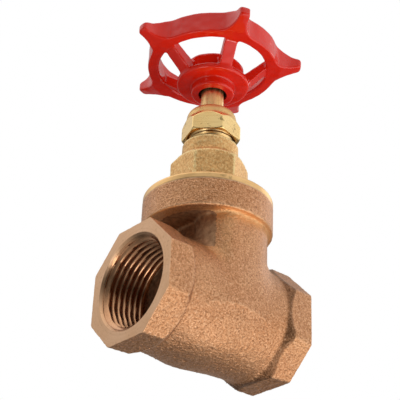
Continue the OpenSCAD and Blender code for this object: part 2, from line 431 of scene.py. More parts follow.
def port_tool(side):
    nt = 144
    a, b = 10.6, END_X + 1.6
    rows = int((b - a) / 0.15) + 1
    xs = np.linspace(a, b, rows)
    th = np.arange(nt) * 2 * np.pi / nt
    x = np.repeat(xs[:, None], nt, 1)
    xx = x if side > 0 else -x[::-1]
    t = np.repeat(th[None, :], rows, 0)
    depth_in = np.abs(xx)
    r = PORT_R + (ROOT_R - PORT_R) * thread_wave(xx / PITCH - t / (2 * np.pi) + 0.31)
    # thread runs out towards the chamber
    out = np.clip((depth_in - 11.3) / 1.6, 0, 1)
    r = PORT_R + (r - PORT_R) * out
    chamfer = PORT_R + (depth_in - (END_X - (MOUTH_R - PORT_R)))
    r = np.maximum(r, chamfer)
    return ring_grid(r, xx, axis="X", name="port_tool")


def box_tool(lo, hi, name="box_tool"):
    x0, y0, z0 = (v * MM for v in lo)
    x1, y1, z1 = (v * MM for v in hi)
    v = [(x0, y0, z0), (x1, y0, z0), (x1, y1, z0), (x0, y1, z0), (x0, y0, z1), (x1, y0, z1), (x1, y1, z1), (x0, y1, z1)]
    f = [(0, 3, 2, 1), (4, 5, 6, 7), (0, 1, 5, 4), (1, 2, 6, 5), (2, 3, 7, 6), (3, 0, 4, 7)]
    return new_object(name, v, f)


def faces_data(mesh):
    n = len(mesh.polygons)
    c = np.empty(n * 3, np.float32)
    mesh.polygons.foreach_get("center", c)
    nn = np.empty(n * 3, np.float32)
    mesh.polygons.foreach_get("normal", nn)
    return c.reshape(-1, 3) / MM, nn.reshape(-1, 3)


def build_body():
    obj = surface_net(body_field, (-27.6, -19.6, -19.4), (27.6, 19.6, 35), FINE, (body_grain, body_grain_amount), "valve_body_casting")
    boolean(obj, box_tool((END_X, -40, -40), (40, 40, 40)))
    boolean(obj, box_tool((-40, -40, -40), (-END_X, 40, 40)))
    boolean(obj, port_tool(1))
    boolean(obj, port_tool(-1))
    boolean(obj, lathe([(15.0, 25.4), (15.0, 30.7), (15.4, 31.1), (30, 31.1), (30, 40)], 144, name="top_tool"))
    boolean(obj, lathe([(7.0, -4), (7.0, 4)], 96, name="seat_tool"))
    return obj


t_body = build_body()
print("body", len(t_body.data.polygons))


# ------------------------------------------------------------------ handwheel
WHEEL_ANGLE, LOBES = math.radians(33.8), 5
SEC_LO = np.array([(15.0, 79.7), (16.4, 79.55), (17.0, 79.2), (20.6, 79.2), (24.0, 80.1), (26.8, 81.0), (27.6, 81.5), (29.0, 82.3)])
SEC_HI = np.array([(15.0, 85.5), (16.4, 85.6), (17.3, 86.2), (18.9, 86.3), (20.9, 85.8), (24.0, 84.4), (26.8, 83.7), (27.6, 83.2), (29.0, 82.4)])


def fold(x, y):
    step = 2 * np.pi / LOBES
    a = np.arctan2(y, x) - WHEEL_ANGLE
    a = np.abs((a + step / 2) % step - step / 2)
    r = polar(x, y)
    return r * np.cos(a), r * np.sin(a), r


def wheel_field(x, y, z):
    # the rim sits a little askew on the hub
    out = np.clip((polar(x, y) - 9.5) / 6.5, 0, 1)
    out = out * out * (3 - 2 * out)
    x0, y0 = x, y
    x, y = x + 0.27 * out, y - 0.22 * out
    z = z - out * (0.41 + 0.0063 * x0 - 0.0232 * y0)
    u, v, r = fold(x, y)
    flank = 9.05 - polar(u - 26.0, v - 10.7)
    lobe = smax(smax(flank, u - 27.15, 1.3), (v - 0.412 * u) * 0.9246, 0.2)
    lobe = np.maximum(lobe, 15.0 - u)
    plan = smin(r - 19.7, lobe, 1.0)
    plan = smax(plan, 16.4 - r, 0.9)
    lo, hi = np.interp(r, SEC_LO[:, 0], SEC_LO[:, 1]), np.interp(r, SEC_HI[:, 0], SEC_HI[:, 1])
    rim = smax(plan, np.maximum(lo - z, z - hi) * 0.95, 0.5)
    # spokes: flat bars that climb from the hub to the rim
    along = 0.7526
    slope_lo = (73.8 + (u - 10.0) * 0.8784 - z) * along
    slope_hi = (z - (77.2 + (u - 8.6) * 0.7119)) * 0.8147
    spoke = smax(smax(slope_lo, slope_hi, 0.25), v - 1.9, 0.25)
    spoke = np.maximum(np.maximum(spoke, 6.5 - u), u - 17.6)
    spoke = np.maximum(spoke, np.maximum(73.75 - z, z - 83.0))
    # hub: collar below, flange, cup above
    hub = smax(smax(r - 9.2, 74.3 - z, 0.3), z - 79.9, 0.8)
    flange = smax(smax(r - 10.9, 73.3 - z, 0.7), z - 75.1, 0.7)
    collar = smax(smax(r - 6.48, 70.5 - z, 0.7), z - 74.6, 0.3)
    centre = smin(smin(hub, flange, 0.9), collar, 0.7)
    d = smin(centre, spoke, 0.7)
    return smin(d, rim, 0.8)


def wheel_grain(n, h):
    return noise_volume(n, h, 3.0, 9.0, 32)


def build_wheel():
    obj = surface_net(wheel_field, (-29.1, -29.1, 69.7), (29.1, 29.1, 88.2), 0.25,
                      (wheel_grain, lambda x, y, z: 0.02 + 0 * (x + y + z)), "handwheel_casting")
    boolean(obj, lathe([(4.3, 69.5), (4.3, 70.6), (4.15, 70.9), (4.1, 72.6), (3.8, 72.9), (3.8, 74.2)], 96, name="wheel_bore"))
    a = 2.37
    v = [(sx * a * MM, sy * a * MM, z * MM) for z in (74.0, 78.5) for sx, sy in ((-1, -1), (1, -1), (1, 1), (-1, 1))]
    f = [(0, 3, 2, 1), (4, 5, 6, 7), (0, 1, 5, 4), (1, 2, 6, 5), (2, 3, 7, 6), (3, 0, 4, 7)]
    boolean(obj, new_object("socket_tool", v, f))
    boolean(obj, lathe([(8.0, 77.6), (8.0, 79.4), (8.5, 80.6)], 96, name="cup_tool"))
    return obj


t_wheel = build_wheel()
print("wheel", len(t_wheel.data.polygons))


# ------------------------------------------------------------------ bonnet
def hexagon(x, y, flats, angle, k):
    d = None
    for i in range(3):
        a = angle + i * math.pi / 3
        e = np.abs(x * math.cos(a) + y * math.sin(a)) - flats / 2
        d = e if d is None else smax(d, e, k)
    return d


def bonnet_field(x, y, z):
    r = polar(x, y)
    flange = smax(smax(r - 18.7, 30.9 - z, 0.2), z - 33.0, 0.5)
    skirt = np.maximum(np.maximum(r - 14.96, 26.2 - z), z - 32)
    # six flats that run into a cone
    cone = (r - 11.55) * 0.584 + (z - 44.7) * 0.812
    six = smax(smax(hexagon(x, y, 20.0, math.radians(58.1), 0.5), cone, 0.5), 31.5 - z, 0.2)
    six = np.maximum(six, z - 49.5)
    top = smax(smax(r - 8.25, z - 51.6, 0.4), 40 - z, 0.3)
    d = smin(six, top, 0.6)
    d = smin(d, flange, 0.9)
    return smin(d, skirt, 0.2)


def bonnet_grain(n, h):
    return noise_volume(n, h, 0.5, 1.2, 21) + 0.8 * noise_volume(n, h, 1.8, 6.0, 22)


def bonnet_grain_amount(x, y, z):
    r = polar(x, y)
    cast = np.clip((z - 33.4) / 0.6, 0, 1) * (r < 14)
    return 0.004 + 0.026 * cast


def bonnet_bore():
    return lathe([(11.6, 25.0), (11.6, 27.5), (9.6, 29.8), (4.65, 29.8), (4.65, 43.05), (3.46, 44.25), (3.46, 46.5), (5.2, 46.5), (5.2, 55.6), (5.7, 56.1), (5.7, 57)], 128, name="bonnet_bore")


def helix_sleeve(name, r_of, z0, z1, pitch, nt=96, dz=0.12, turn=1.0):
    """Rows of an outer thread: r_of(z, wave) gives the radius from the height and the wave, 0 at the root and 1 at the crest."""
    zs = np.linspace(z0, z1, int(round((z1 - z0) / dz)) + 1)
    th = np.arange(nt) / nt
    z = np.repeat(zs[:, None], nt, 1)
    wave = 1 - thread_wave(z / pitch - turn * th[None, :], 0.9)
    return r_of(z, wave), z


def build_bonnet():
    obj = surface_net(bonnet_field, (-19.4, -19.4, 25.6), (19.4, 19.4, 52.4), 0.3,
                      (bonnet_grain, bonnet_grain_amount), "bonnet_casting")

    def r_of(z, wave):
        fade = np.clip((z - 52.6) / 0.9, 0, 1) * np.clip((55.9 - z) / 0.7, 0, 1)
        r = 6.24 + 0.42 * wave * fade
        return np.where(z < 52.3, 6.24, r)

    r, z = helix_sleeve("neck", r_of, 50.0, 56.0, 1.27)
    boolean(obj, ring_grid(r, z, name="neck_tool"), "UNION")
    boolean(obj, bonnet_bore())
    return obj


t_bonnet = build_bonnet()
print("bonnet", len(t_bonnet.data.polygons))


# ------------------------------------------------------------------ gland nut
NUT_PROFILE = np.array([(7.6, 53.96), (8.75, 54.55), (9.4, 54.9), (9.4, 58.6), (8.6, 60.2), (7.5, 62.35), (6.95, 63.35), (6.3, 63.7)])


def gland_nut_field(x, y, z):
    r = polar(x, y)
    hexa = hexagon(x, y, 15.35, math.radians(42.5), 0.35)
    low = (r - 8.3) * 0.7 - (z - 53.96) * 0.72 - 0.0
    # the corners are turned off above, then a short drum with a round crown
    shoulder = (r - 8.93) * 0.802 + (z - 58.25) * 0.598
    drum = smax((r - 7.5) * 0.995 + (z - 60.1) * 0.1, z - 63.6, 2.4)
    d = smax(smax(hexa, smin(shoulder, smax(drum, 59 - z, 0.2), 0.3), 0.2), low, 0.2)
    d = smax(d, z - 63.6, 0.2)
    return smax(d, 53.96 - z, 0.2)


def build_gland_nut():
    obj = surface_net(gland_nut_field, (-9.6, -9.6, 53.4), (9.6, 9.6, 64.3), 0.17, None, "gland_nut_turned")

    def r_of(z, wave):
        fade = np.clip((58.2 - z) / 0.8, 0, 1)
        r = 6.72 + 0.4 * wave * fade
        return np.maximum(r, 7.35 - (z - 53.96) * 1.0)

    r, z = helix_sleeve("thread", r_of, 53.2, 58.6, 1.27)
    boolean(obj, ring_grid(r, z, name="nut_thread"))
    boolean(obj, lathe([(3.71, 58.0), (3.71, 63.2), (4.0, 63.57), (4.0, 65)], 96, name="nut_hole"))
    return obj


t_nut = build_gland_nut()
print("gland nut", len(t_nut.data.polygons))


# ------------------------------------------------------------------ stem
def build_stem():
    rows = []
    nt = 96
    th = np.arange(nt) / nt * 2 * np.pi
    square = 2.35 / np.maximum(np.abs(np.cos(th)), np.abs(np.sin(th)))
    square = np.minimum(square, 3.12)

    def ring(r, z):
        rows.append((np.full(nt, r) if np.isscalar(r) else r, np.full(nt, z)))

    for r, z in ((2.7, 7.7), (3.2, 8.05), (3.2, 9.05), (2.85, 9.4), (2.3, 9.5), (2.2, 9.8), (2.2, 13.7), (2.5, 14.0), (3.7, 14.1)):
        ring(r, z)
    for z in np.arange(14.25, 36.6, 0.17):
        fade = min(1.0, max(0.0, (z - 14.2) / 1.2)) * min(1.0, max(0.0, (36.6 - z) / 0.9))
        wave = 1 - thread_wave(z / 2.0 - th / (2 * np.pi), 0.93)
        ring(3.75 + 0.84 * wave * fade, z)
    for r, z in ((3.75, 36.7), (3.75, 37.3), (3.41, 37.7), (3.41, 44.0), (3.41, 73.7), (3.15, 74.0)):
        ring(r, z)
    ring(np.minimum(square, 3.12), 74.02)
    ring(np.minimum(square, 3.12), 77.0)
    ring(np.minimum(square, 3.12) - 0.3, 77.38)
    ring(2.05, 77.4)
    for z in np.arange(77.5, 82.4, 0.12):
        wave = 1 - thread_wave(z / 0.8 - th / (2 * np.pi), 0.9)
        ring(2.06 + 0.33 * wave, z)
    ring(2.2, 82.45)
    ring(1.75, 82.8)
    r = np.stack([a for a, _ in rows])
    z = np.stack([b for _, b in rows])
    return ring_grid(r, z, name="stem_turned")


t_stem = build_stem()


# ------------------------------------------------------------------ wheel nut, washer and blank plate
def wheel_nut_field(x, y, z):
    r = polar(x, y)
    d = hexagon(x, y, 8.0, math.radians(30), 0.15)
    top = (r - 4.35) * 0.5 + (z - 82.0) * 0.866 + 0.12
    bottom = (r - 4.35) * 0.5 - (z - 78.8) * 0.866 + 0.12
    return smax(smax(smax(d, top, 0.15), bottom, 0.15), np.abs(z - 80.4) - 1.6, 0.15)


def build_wheel_nut():
    obj = surface_net(wheel_nut_field, (-5.1, -5.1, 78.3), (5.1, 5.1, 82.5), 0.13, None, "handwheel_nut_turned")
    boolean(obj, lathe([(2.75, 78.0), (2.75, 78.85), (2.43, 79.15), (2.43, 81.6), (2.75, 81.95), (2.75, 83)], 72, name="hole"))
    return obj


t_wheel_nut = build_wheel_nut()
t_washer = lathe_ring([(5.4, 78.0), (5.6, 78.15), (5.6, 78.6), (5.35, 78.8), (4.9, 78.8), (4.4, 78.8)],
                      [(3.8, 78.0), (3.7, 78.1), (3.7, 78.7), (3.85, 78.8), (4.2, 78.8)], 96, "handwheel_washer_pressed")
t_plate = lathe_ring([(7.42, 77.6), (7.5, 77.68), (7.5, 77.94), (7.42, 78.0), (7.05, 78.0), (6.9, 77.86), (4.95, 77.86), (4.8, 78.0), (4.2, 78.0)],
                     [(3.78, 77.6), (3.7, 77.66), (3.7, 77.94), (3.78, 78.0), (4.0, 78.0)], 120, "blank_plate_pressed")


def turned_ring(name, r_out, r_in, z0, z1, c=0.15, nt=96):
    return lathe_ring([(r_out - c, z0), (r_out, z0 + c), (r_out, z1 - c), (r_out - c, z1)],
                      [(r_in + c, z0), (r_in, z0 + c), (r_in, z1 - c), (r_in + c, z1)], nt, name)


t_packing = [turned_ring("packing_lower_ring", 5.17, 3.48, 47.3, 49.3, 0.35), turned_ring("packing_middle_ring", 5.17, 3.48, 49.3, 51.3, 0.35),
             turned_ring("packing_upper_ring", 5.17, 3.48, 51.3, 53.3, 0.35)]


# ------------------------------------------------------------------ face groups and surface data
def vert_array(mesh):
    v = np.empty(len(mesh.vertices) * 3, np.float32)
    mesh.vertices.foreach_get("co", v)
    return v.reshape(-1, 3) / MM


def set_slots(obj, mats, index=None):
    obj.data.materials.clear()
    for m in mats:
        obj.data.materials.append(m)
    if index is None:
        index = np.zeros(len(obj.data.polygons), np.int32)
    obj.data.polygons.foreach_set("material_index", np.asarray(index, np.int32))


def set_value(obj, name, values):
    att = obj.data.attributes.new(name, "FLOAT", "POINT")
    att.data.foreach_set("value", np.asarray(values, np.float32))


def ring_count(mesh, name, amount):
    """Stores how hollow the surface is at each point: the mean of its neighbours, above or below it, along the normal."""
    n = len(mesh.vertices)
    v = vert_array(mesh).astype(np.float64)
    nor = np.empty(n * 3, np.float32)
    mesh.vertices.foreach_get("normal", nor)
    nor = nor.reshape(-1, 3)
    e = np.empty(len(mesh.edges) * 2, np.int32)
    mesh.edges.foreach_get("vertices", e)
    e = e.reshape(-1, 2)
    deg = np.bincount(e.ravel(), minlength=n).astype(float)
    deg[deg == 0] = 1

    def spread(f):
        out = np.zeros_like(f)
        for k in range(f.shape[1]):
            out[:, k] = np.bincount(e[:, 0], f[e[:, 1], k], n) + np.bincount(e[:, 1], f[e[:, 0], k], n)
        return out / deg[:, None]

    mean = spread(v)
    hollow = ((mean - v) * nor).sum(-1)
    for _ in range(amount):
        hollow = 0.5 * hollow + 0.5 * spread(hollow[:, None])[:, 0]
    return hollow


def recess(obj, field):
    """0 on open surfaces, towards 1 where other surfaces close in over the point."""
    v = vert_array(obj.data).astype(float)
    n = np.empty(len(v) * 3, np.float32)
    obj.data.vertices.foreach_get("normal", n)
    n = n.reshape(-1, 3)
    total, weight = 0.0, 0.0
    for d, w in ((0.8, 1.0), (1.8, 1.0), (3.5, 0.9), (6.0, 0.7), (9.0, 0.5)):
        p = v + n * d
        total = total + w * np.clip((d - field(p[:, 0], p[:, 1], p[:, 2])) / d, 0, 1)
        weight += w
    return total / weight


# ------------------------------------------------------------------ material helpers
class Graph:
    def __init__(self, name):
        self.mat = bpy.data.materials.new(name)
        self.mat.use_nodes = True
        self.tree = self.mat.node_tree
        self.tree.nodes.clear()
        self.out = self.tree.nodes.new("ShaderNodeOutputMaterial")
        self.bsdf = self.tree.nodes.new("ShaderNodeBsdfPrincipled")
        self.tree.links.new(self.bsdf.outputs[0], self.out.inputs[0])
        self.coord = self.tree.nodes.new("ShaderNodeTexCoord").outputs["Object"]

    def put(self, socket, value):
        if hasattr(value, "links"):
            self.tree.links.new(value, socket)
        else:
            if isinstance(value, (tuple, list)) and len(value) == 3 and len(getattr(socket, "default_value", (0, 0, 0))) == 4:
                value = tuple(value) + (1.0,)
            socket.default_value = value

    def set(self, **kw):
        for k, v in kw.items():
            self.put(self.bsdf.inputs[k.replace("_", " ")], v)
        return self

    def node(self, kind, props=None, **inputs):
        n = self.tree.nodes.new(kind)
        for k, v in (props or {}).items():
            setattr(n, k, v)
        for k, v in inputs.items():
            self.put(n.inputs[k.replace("_", " ")], v)
        return n

    def math(self, op, a, b=None, clamp=False):
        n = self.tree.nodes.new("ShaderNodeMath")
        n.operation = op
        n.use_clamp = clamp
        self.put(n.inputs[0], a)
        if b is not None:
            self.put(n.inputs[1], b)
        return n.outputs[0]

    def noise(self, scale, detail=3.0, rough=0.55, vec=None, distort=0.0):
        return self.node("ShaderNodeTexNoise", Vector=vec or self.coord, Scale=scale, Detail=detail, Roughness=rough, Distortion=distort).outputs[0]

    def cells(self, scale, vec=None, feature="F1", rand=1.0):
        return self.node("ShaderNodeTexVoronoi", {"feature": feature}, Vector=vec or self.coord, Scale=scale, Randomness=rand).outputs[0]

    def stretch(self, x, y, z, vec=None):
        return self.node("ShaderNodeMapping", Vector=vec or self.coord, Scale=(x, y, z)).outputs[0]

    def range(self, v, a, b, lo=0.0, hi=1.0, smooth_step=False):
        n = self.tree.nodes.new("ShaderNodeMapRange")
        if smooth_step:
            n.interpolation_type = "SMOOTHSTEP"
        for i, x in enumerate((v, a, b, lo, hi)):
            self.put(n.inputs[i], x)
        return n.outputs[0]

    def mix(self, fac, a, b, kind="MIX"):
        n = self.tree.nodes.new("ShaderNodeMix")
        n.data_type = "RGBA"
        n.blend_type = kind
        self.put(n.inputs[0], fac)
        self.put(n.inputs[6], a)
        self.put(n.inputs[7], b)
        return n.outputs[2]

    def attr(self, name):
        n = self.tree.nodes.new("ShaderNodeAttribute")
        n.attribute_name = name
        return n.outputs["Fac"]

    def axis(self, which):
        n = self.tree.nodes.new("ShaderNodeSeparateXYZ")
        self.put(n.inputs[0], self.coord)
        return n.outputs[which]

    def radius(self, axis):
        scale = {"X": (0, 1, 1), "Z": (1, 1, 0)}[axis]
        v = self.node("ShaderNodeVectorMath", {"operation": "MULTIPLY"})
        self.put(v.inputs[0], self.coord)
        v.inputs[1].default_value = scale
        n = self.node("ShaderNodeVectorMath", {"operation": "LENGTH"})
        self.put(n.inputs[0], v.outputs[0])
        return n.outputs["Value"]

    def bump(self, height, strength, distance, after=None):
        n = self.tree.nodes.new("ShaderNodeBump")
        n.inputs["Strength"].default_value = strength
        n.inputs["Distance"].default_value = distance
        self.put(n.inputs["Height"], height)
        if after is not None:
            self.put(n.inputs["Normal"], after)
        return n.outputs[0]


def cast_bronze():
    g = Graph("cast_bronze")
    grain = g.noise(1900, 3, 0.6)
    fine = g.noise(4200, 2, 0.5)
    patch = g.noise(95, 3, 0.5)
    wide = g.noise(38, 2, 0.5)
    hollow = g.attr("hollow")
    painted_light_recess = g.attr("recess")
    # colour: warm bronze with a random grain of darker and paler specks, then painted shade in the hollows of the sand
    # texture and painted highlight on its crests
    tone = g.mix(g.range(patch, 0.35, 0.68), (0.595, 0.269, 0.118), (0.676, 0.335, 0.155))
    tone = g.mix(g.range(wide, 0.4, 0.65, 0, 0.55), tone, (0.576, 0.291, 0.151))
    speck = g.range(g.math("ADD", g.math("MULTIPLY", grain, 0.55), g.math("MULTIPLY", fine, 0.45)), 0.40, 0.62)
    tone = g.mix(g.range(speck, 0.0, 0.50, 0.72, 0.0), tone, (0.298, 0.117, 0.0416))
    tone = g.mix(g.range(speck, 0.62, 1.0, 0.0, 0.64), tone, (0.94, 0.59, 0.355))
    # painted shade where the surface is hollow, then painted highlight where it bulges
    tone = g.mix(g.range(hollow, 0.10, 1.4, 0.0, 0.50), tone, (0.218, 0.0826, 0.0303))
    tone = g.mix(g.range(hollow, -0.12, -1.2, 0.0, 0.45), tone, (0.894, 0.539, 0.31))
    # painted light: where other surfaces close in, above the barrel's middle, the bronze is made lighter to stand in
    # for light missing there
    tone = g.mix(g.math("MULTIPLY", g.range(painted_light_recess, 0.10, 0.42, 0.0, 0.78), g.range(g.axis(2), 0.006, 0.010)), tone, (0.95, 0.53, 0.23))
    tone = g.mix(g.math("MULTIPLY", g.attr("scale"), g.range(grain, 0.30, 0.70, 0.95, 0.55)), tone, (0.139, 0.06, 0.0251))
    # a few small pits
    pit = g.range(g.cells(210), 0.045, 0.09, 1.0, 0.0)
    pit = g.math("MULTIPLY", pit, g.range(g.noise(60, 2), 0.54, 0.6))
    tone = g.mix(g.math("MULTIPLY", pit, 0.75), tone, (0.0894, 0.0391, 0.0228))
    rough = g.math("ADD", g.range(grain, 0.3, 0.7, 0.27, 0.40), g.range(hollow, 0.0, 0.8, 0.0, 0.12))
    g.set(Base_Color=tone, Metallic=0.88, Roughness=rough)
    h = g.math("ADD", g.math("MULTIPLY", grain, 0.7), g.math("MULTIPLY", fine, 0.3))
    g.put(g.bsdf.inputs["Normal"], g.bump(h, 1.0, 0.00034))
    return g.mat


def machined_bronze():
    g = Graph("machined_bronze")
    ring = g.node("ShaderNodeTexNoise", {"noise_dimensions": "1D"}, W=g.radius("X"), Scale=3800.0, Detail=3.0).outputs[0]
    smear = g.noise(130, 4, 0.6)
    fine = g.noise(1500, 3, 0.6)
    tone = g.mix(g.range(smear, 0.35, 0.65), (0.597, 0.348, 0.189), (0.688, 0.428, 0.257))
    tone = g.mix(g.range(ring, 0.35, 0.6, 0.30, 0.0), tone, (0.435, 0.235, 0.121))
    tone = g.mix(g.range(fine, 0.33, 0.42, 0.4, 0.0), tone, (0.325, 0.162, 0.0785))
    g.set(Base_Color=tone, Metallic=0.95, Roughness=g.range(smear, 0.3, 0.7, 0.28, 0.42))
    h = g.math("ADD", g.math("MULTIPLY", ring, 0.6), g.math("MULTIPLY", fine, 0.4))
    g.put(g.bsdf.inputs["Normal"], g.bump(h, 0.18, 0.0001))
    return g.mat


def thread_bronze():
    g = Graph("thread_bronze")
    smear = g.noise(160, 3, 0.6)
    fine = g.noise(2600, 2, 0.6)
    tone = g.mix(g.range(smear, 0.35, 0.65), (0.55, 0.285, 0.145), (0.68, 0.375, 0.205))
    tone = g.mix(g.range(fine, 0.35, 0.5, 0.3, 0.0), tone, (0.239, 0.102, 0.0462))
    # painted shade: darker towards the roots of the thread
    painted_valley_shade = g.range(g.radius("X"), 0.0122, 0.0131, 0.0, 0.15)
    tone = g.mix(painted_valley_shade, tone, (0.0855, 0.0326, 0.0127))
    g.set(Base_Color=tone, Metallic=0.95, Roughness=g.range(smear, 0.3, 0.7, 0.18, 0.28))
    g.put(g.bsdf.inputs["Normal"], g.bump(fine, 0.10, 0.0001))
    return g.mat


def inside_bronze():
    # painted shade: a darker, rougher copy of the cast bronze for the inner chamber and bores
    g = Graph("bore_bronze")
    grain = g.noise(700, 4, 0.6)
    tone = g.mix(g.range(grain, 0.35, 0.65), (0.30, 0.15, 0.075), (0.52, 0.30, 0.16))
    g.set(Base_Color=tone, Metallic=0.8, Roughness=0.55)
    g.put(g.bsdf.inputs["Normal"], g.bump(grain, 0.6, 0.00025))
    return g.mat


def cast_brass():
    g = Graph("cast_brass")
    grain = g.noise(1300, 4, 0.62)
    fine = g.noise(3000, 2, 0.5)
    patch = g.noise(110, 3, 0.5)
    hollow = g.attr("hollow")
    tone = g.mix(g.range(patch, 0.35, 0.65), (0.755, 0.43, 0.161), (0.865, 0.518, 0.21))
    speck = g.range(g.math("ADD", g.math("MULTIPLY", grain, 0.6), g.math("MULTIPLY", fine, 0.4)), 0.41, 0.60)
    tone = g.mix(g.range(speck, 0.0, 0.5, 0.50, 0.0), tone, (0.453, 0.218, 0.0608))
    tone = g.mix(g.range(speck, 0.72, 1.0, 0.0, 0.45), tone, (0.97, 0.823, 0.42))
    # painted shade where the surface is hollow, then painted highlight where it bulges
    tone = g.mix(g.range(hollow, 0.10, 0.8, 0.0, 0.6), tone, (0.371, 0.175, 0.0497))
    tone = g.mix(g.range(hollow, -0.12, -0.8, 0.0, 0.5), tone, (0.97, 0.848, 0.442))
    g.set(Base_Color=tone, Metallic=0.85, Roughness=g.range(grain, 0.3, 0.7, 0.42, 0.56))
    h = g.math("ADD", g.math("MULTIPLY", grain, 0.65), g.math("MULTIPLY", fine, 0.35))
    g.put(g.bsdf.inputs["Normal"], g.bump(h, 0.6, 0.00014))
    return g.mat


def turned_brass(name, light, dark, rough=(0.22, 0.34), stain=0.7, axis="Z", metallic=1.0, crown=0.0):
    g = Graph(name)
    smear = g.noise(170, 4, 0.6)
    lines = g.noise(900, 3, 0.55, vec=g.stretch(0.25, 0.25, 3.0))
    spot = g.noise(420, 4, 0.62, distort=0.4)
    where = g.noise(120, 2, 0.5)
    tone = g.mix(g.range(smear, 0.34, 0.66), dark, light)
    tone = g.mix(g.range(lines, 0.36, 0.5, 0.22, 0.0), tone, tuple(0.55 * c for c in dark))
    mark = g.math("MULTIPLY", g.range(spot, 0.585, 0.65), g.range(where, 0.50, 0.60))
    tone = g.mix(g.math("MULTIPLY", mark, stain), tone, tuple(0.33 * c for c in dark))
    # painted shade: from 59.2 mm up, the crown under the handwheel is darker, and it is also rougher
    crown_mask = g.range(g.axis(2), 0.0592, 0.0604, 0.0, crown)
    tone = g.mix(crown_mask, tone, tuple(0.55 * c for c in dark))
    g.set(Base_Color=tone, Metallic=metallic, Roughness=g.math("ADD", g.range(smear, 0.3, 0.7, rough[0], rough[1]), crown_mask))
    h = g.math("ADD", g.math("MULTIPLY", lines, 0.6), g.math("MULTIPLY", smear, 0.4))
    g.put(g.bsdf.inputs["Normal"], g.bump(h, 0.14, 0.00012))
    return g.mat


def drawn_bronze():
    g = Graph("stem_bronze")
    streak = g.noise(1500, 4, 0.65, vec=g.stretch(1, 1, 0.04))
    wide = g.noise(520, 2, 0.5, vec=g.stretch(1, 1, 0.08))
    fine = g.noise(2500, 2, 0.5, vec=g.stretch(1, 1, 0.3))
    tone = g.mix(g.range(streak, 0.36, 0.62), (0.637, 0.36, 0.128), (0.97, 0.681, 0.306))
    tone = g.mix(g.range(wide, 0.45, 0.62, 0.0, 0.6), tone, (0.97, 0.745, 0.356))
    tone = g.mix(g.range(fine, 0.33, 0.45, 0.4, 0.0), tone, (0.357, 0.18, 0.0593))
    g.set(Base_Color=tone, Metallic=0.95, Roughness=g.range(streak, 0.3, 0.7, 0.26, 0.42))
    g.put(g.bsdf.inputs["Normal"], g.bump(streak, 0.2, 0.0001))
    return g.mat


def red_paint():
    g = Graph("red_paint")
    patch = g.noise(80, 3, 0.5)
    peel = g.noise(650, 2, 0.4)
    hollow = g.attr("hollow")
    tone = g.mix(g.range(patch, 0.3, 0.7), (0.724, 0.0112, 0.00166), (0.82, 0.0179, 0.00297))
    # painted shade in the concave corners, then painted highlight on the convex edges
    tone = g.mix(g.range(hollow, 0.35, 2.0, 0.0, 0.5), tone, (0.328, 0.00335, 0.000594))
    tone = g.mix(g.range(hollow, -0.8, -2.6, 0.0, 0.22), tone, (0.97, 0.0615, 0.0178))
    speck = g.range(g.cells(170), 0.03, 0.055, 0.7, 0.0)
    speck = g.math("MULTIPLY", speck, g.range(g.noise(70, 2), 0.56, 0.62))
    tone = g.mix(speck, tone, (0.216, 0.0111, 0.0048))
    # painted shade: the inside of the hub bore is made almost black
    bore = g.math("MULTIPLY", g.range(g.radius("Z"), 0.0042, 0.0046, 1.0, 0.0), g.range(g.axis(2), 0.0704, 0.0710, 0.0, 0.95))
    tone = g.mix(bore, tone, (0.0378, 0.00636, 0.0032))
    g.set(Base_Color=tone, Metallic=0.0, Roughness=g.range(peel, 0.3, 0.7, 0.07, 0.13))
    g.bsdf.inputs["IOR"].default_value = 1.5
    g.put(g.bsdf.inputs["Normal"], g.bump(peel, 0.10, 0.0002))
    return g.mat


def plain_metal(name, light, dark, rough, metallic=1.0, scale=500, bump=0.1):
    g = Graph(name)
    a = g.noise(scale, 4, 0.6)
    b = g.noise(scale * 0.2, 2, 0.5)
    tone = g.mix(g.range(a, 0.35, 0.65), dark, light)
    tone = g.mix(g.range(b, 0.45, 0.65, 0.0, 0.3), tone, tuple(0.7 * c for c in dark))
    g.set(Base_Color=tone, Metallic=metallic, Roughness=g.range(b, 0.3, 0.7, rough[0], rough[1]))
    g.put(g.bsdf.inputs["Normal"], g.bump(a, bump, 0.0001))
    return g.mat


def brushed_plate():
    g = Graph("brushed_plate")
    ring = g.node("ShaderNodeTexNoise", {"noise_dimensions": "1D"}, W=g.radius("Z"), Scale=6000.0, Detail=2.0).outputs[0]
    smear = g.noise(220, 3, 0.5)
    tone = g.mix(g.range(ring, 0.3, 0.7), (0.55, 0.56, 0.58), (0.78, 0.79, 0.80))
    tone = g.mix(g.range(smear, 0.5, 0.7, 0.0, 0.35), tone, (0.45, 0.45, 0.46))
    g.set(Base_Color=tone, Metallic=1.0, Roughness=g.range(smear, 0.3, 0.7, 0.28, 0.4))
    g.put(g.bsdf.inputs["Normal"], g.bump(ring, 0.15, 0.00008))
    return g.mat


def packing_braid():
    g = Graph("graphite_braid")
    w = g.cells(1300, vec=g.stretch(1, 1, 1.6))
    n = g.noise(900, 3, 0.6)
    tone = g.mix(g.range(w, 0.1, 0.6), (0.045, 0.045, 0.048), (0.012, 0.012, 0.013))
    tone = g.mix(g.range(n, 0.5, 0.7, 0.0, 0.4), tone, (0.09, 0.09, 0.095))
    g.set(Base_Color=tone, Metallic=0.1, Roughness=g.range(n, 0.3, 0.7, 0.45, 0.65))
    g.put(g.bsdf.inputs["Normal"], g.bump(w, 0.5, 0.0002))
    return g.mat


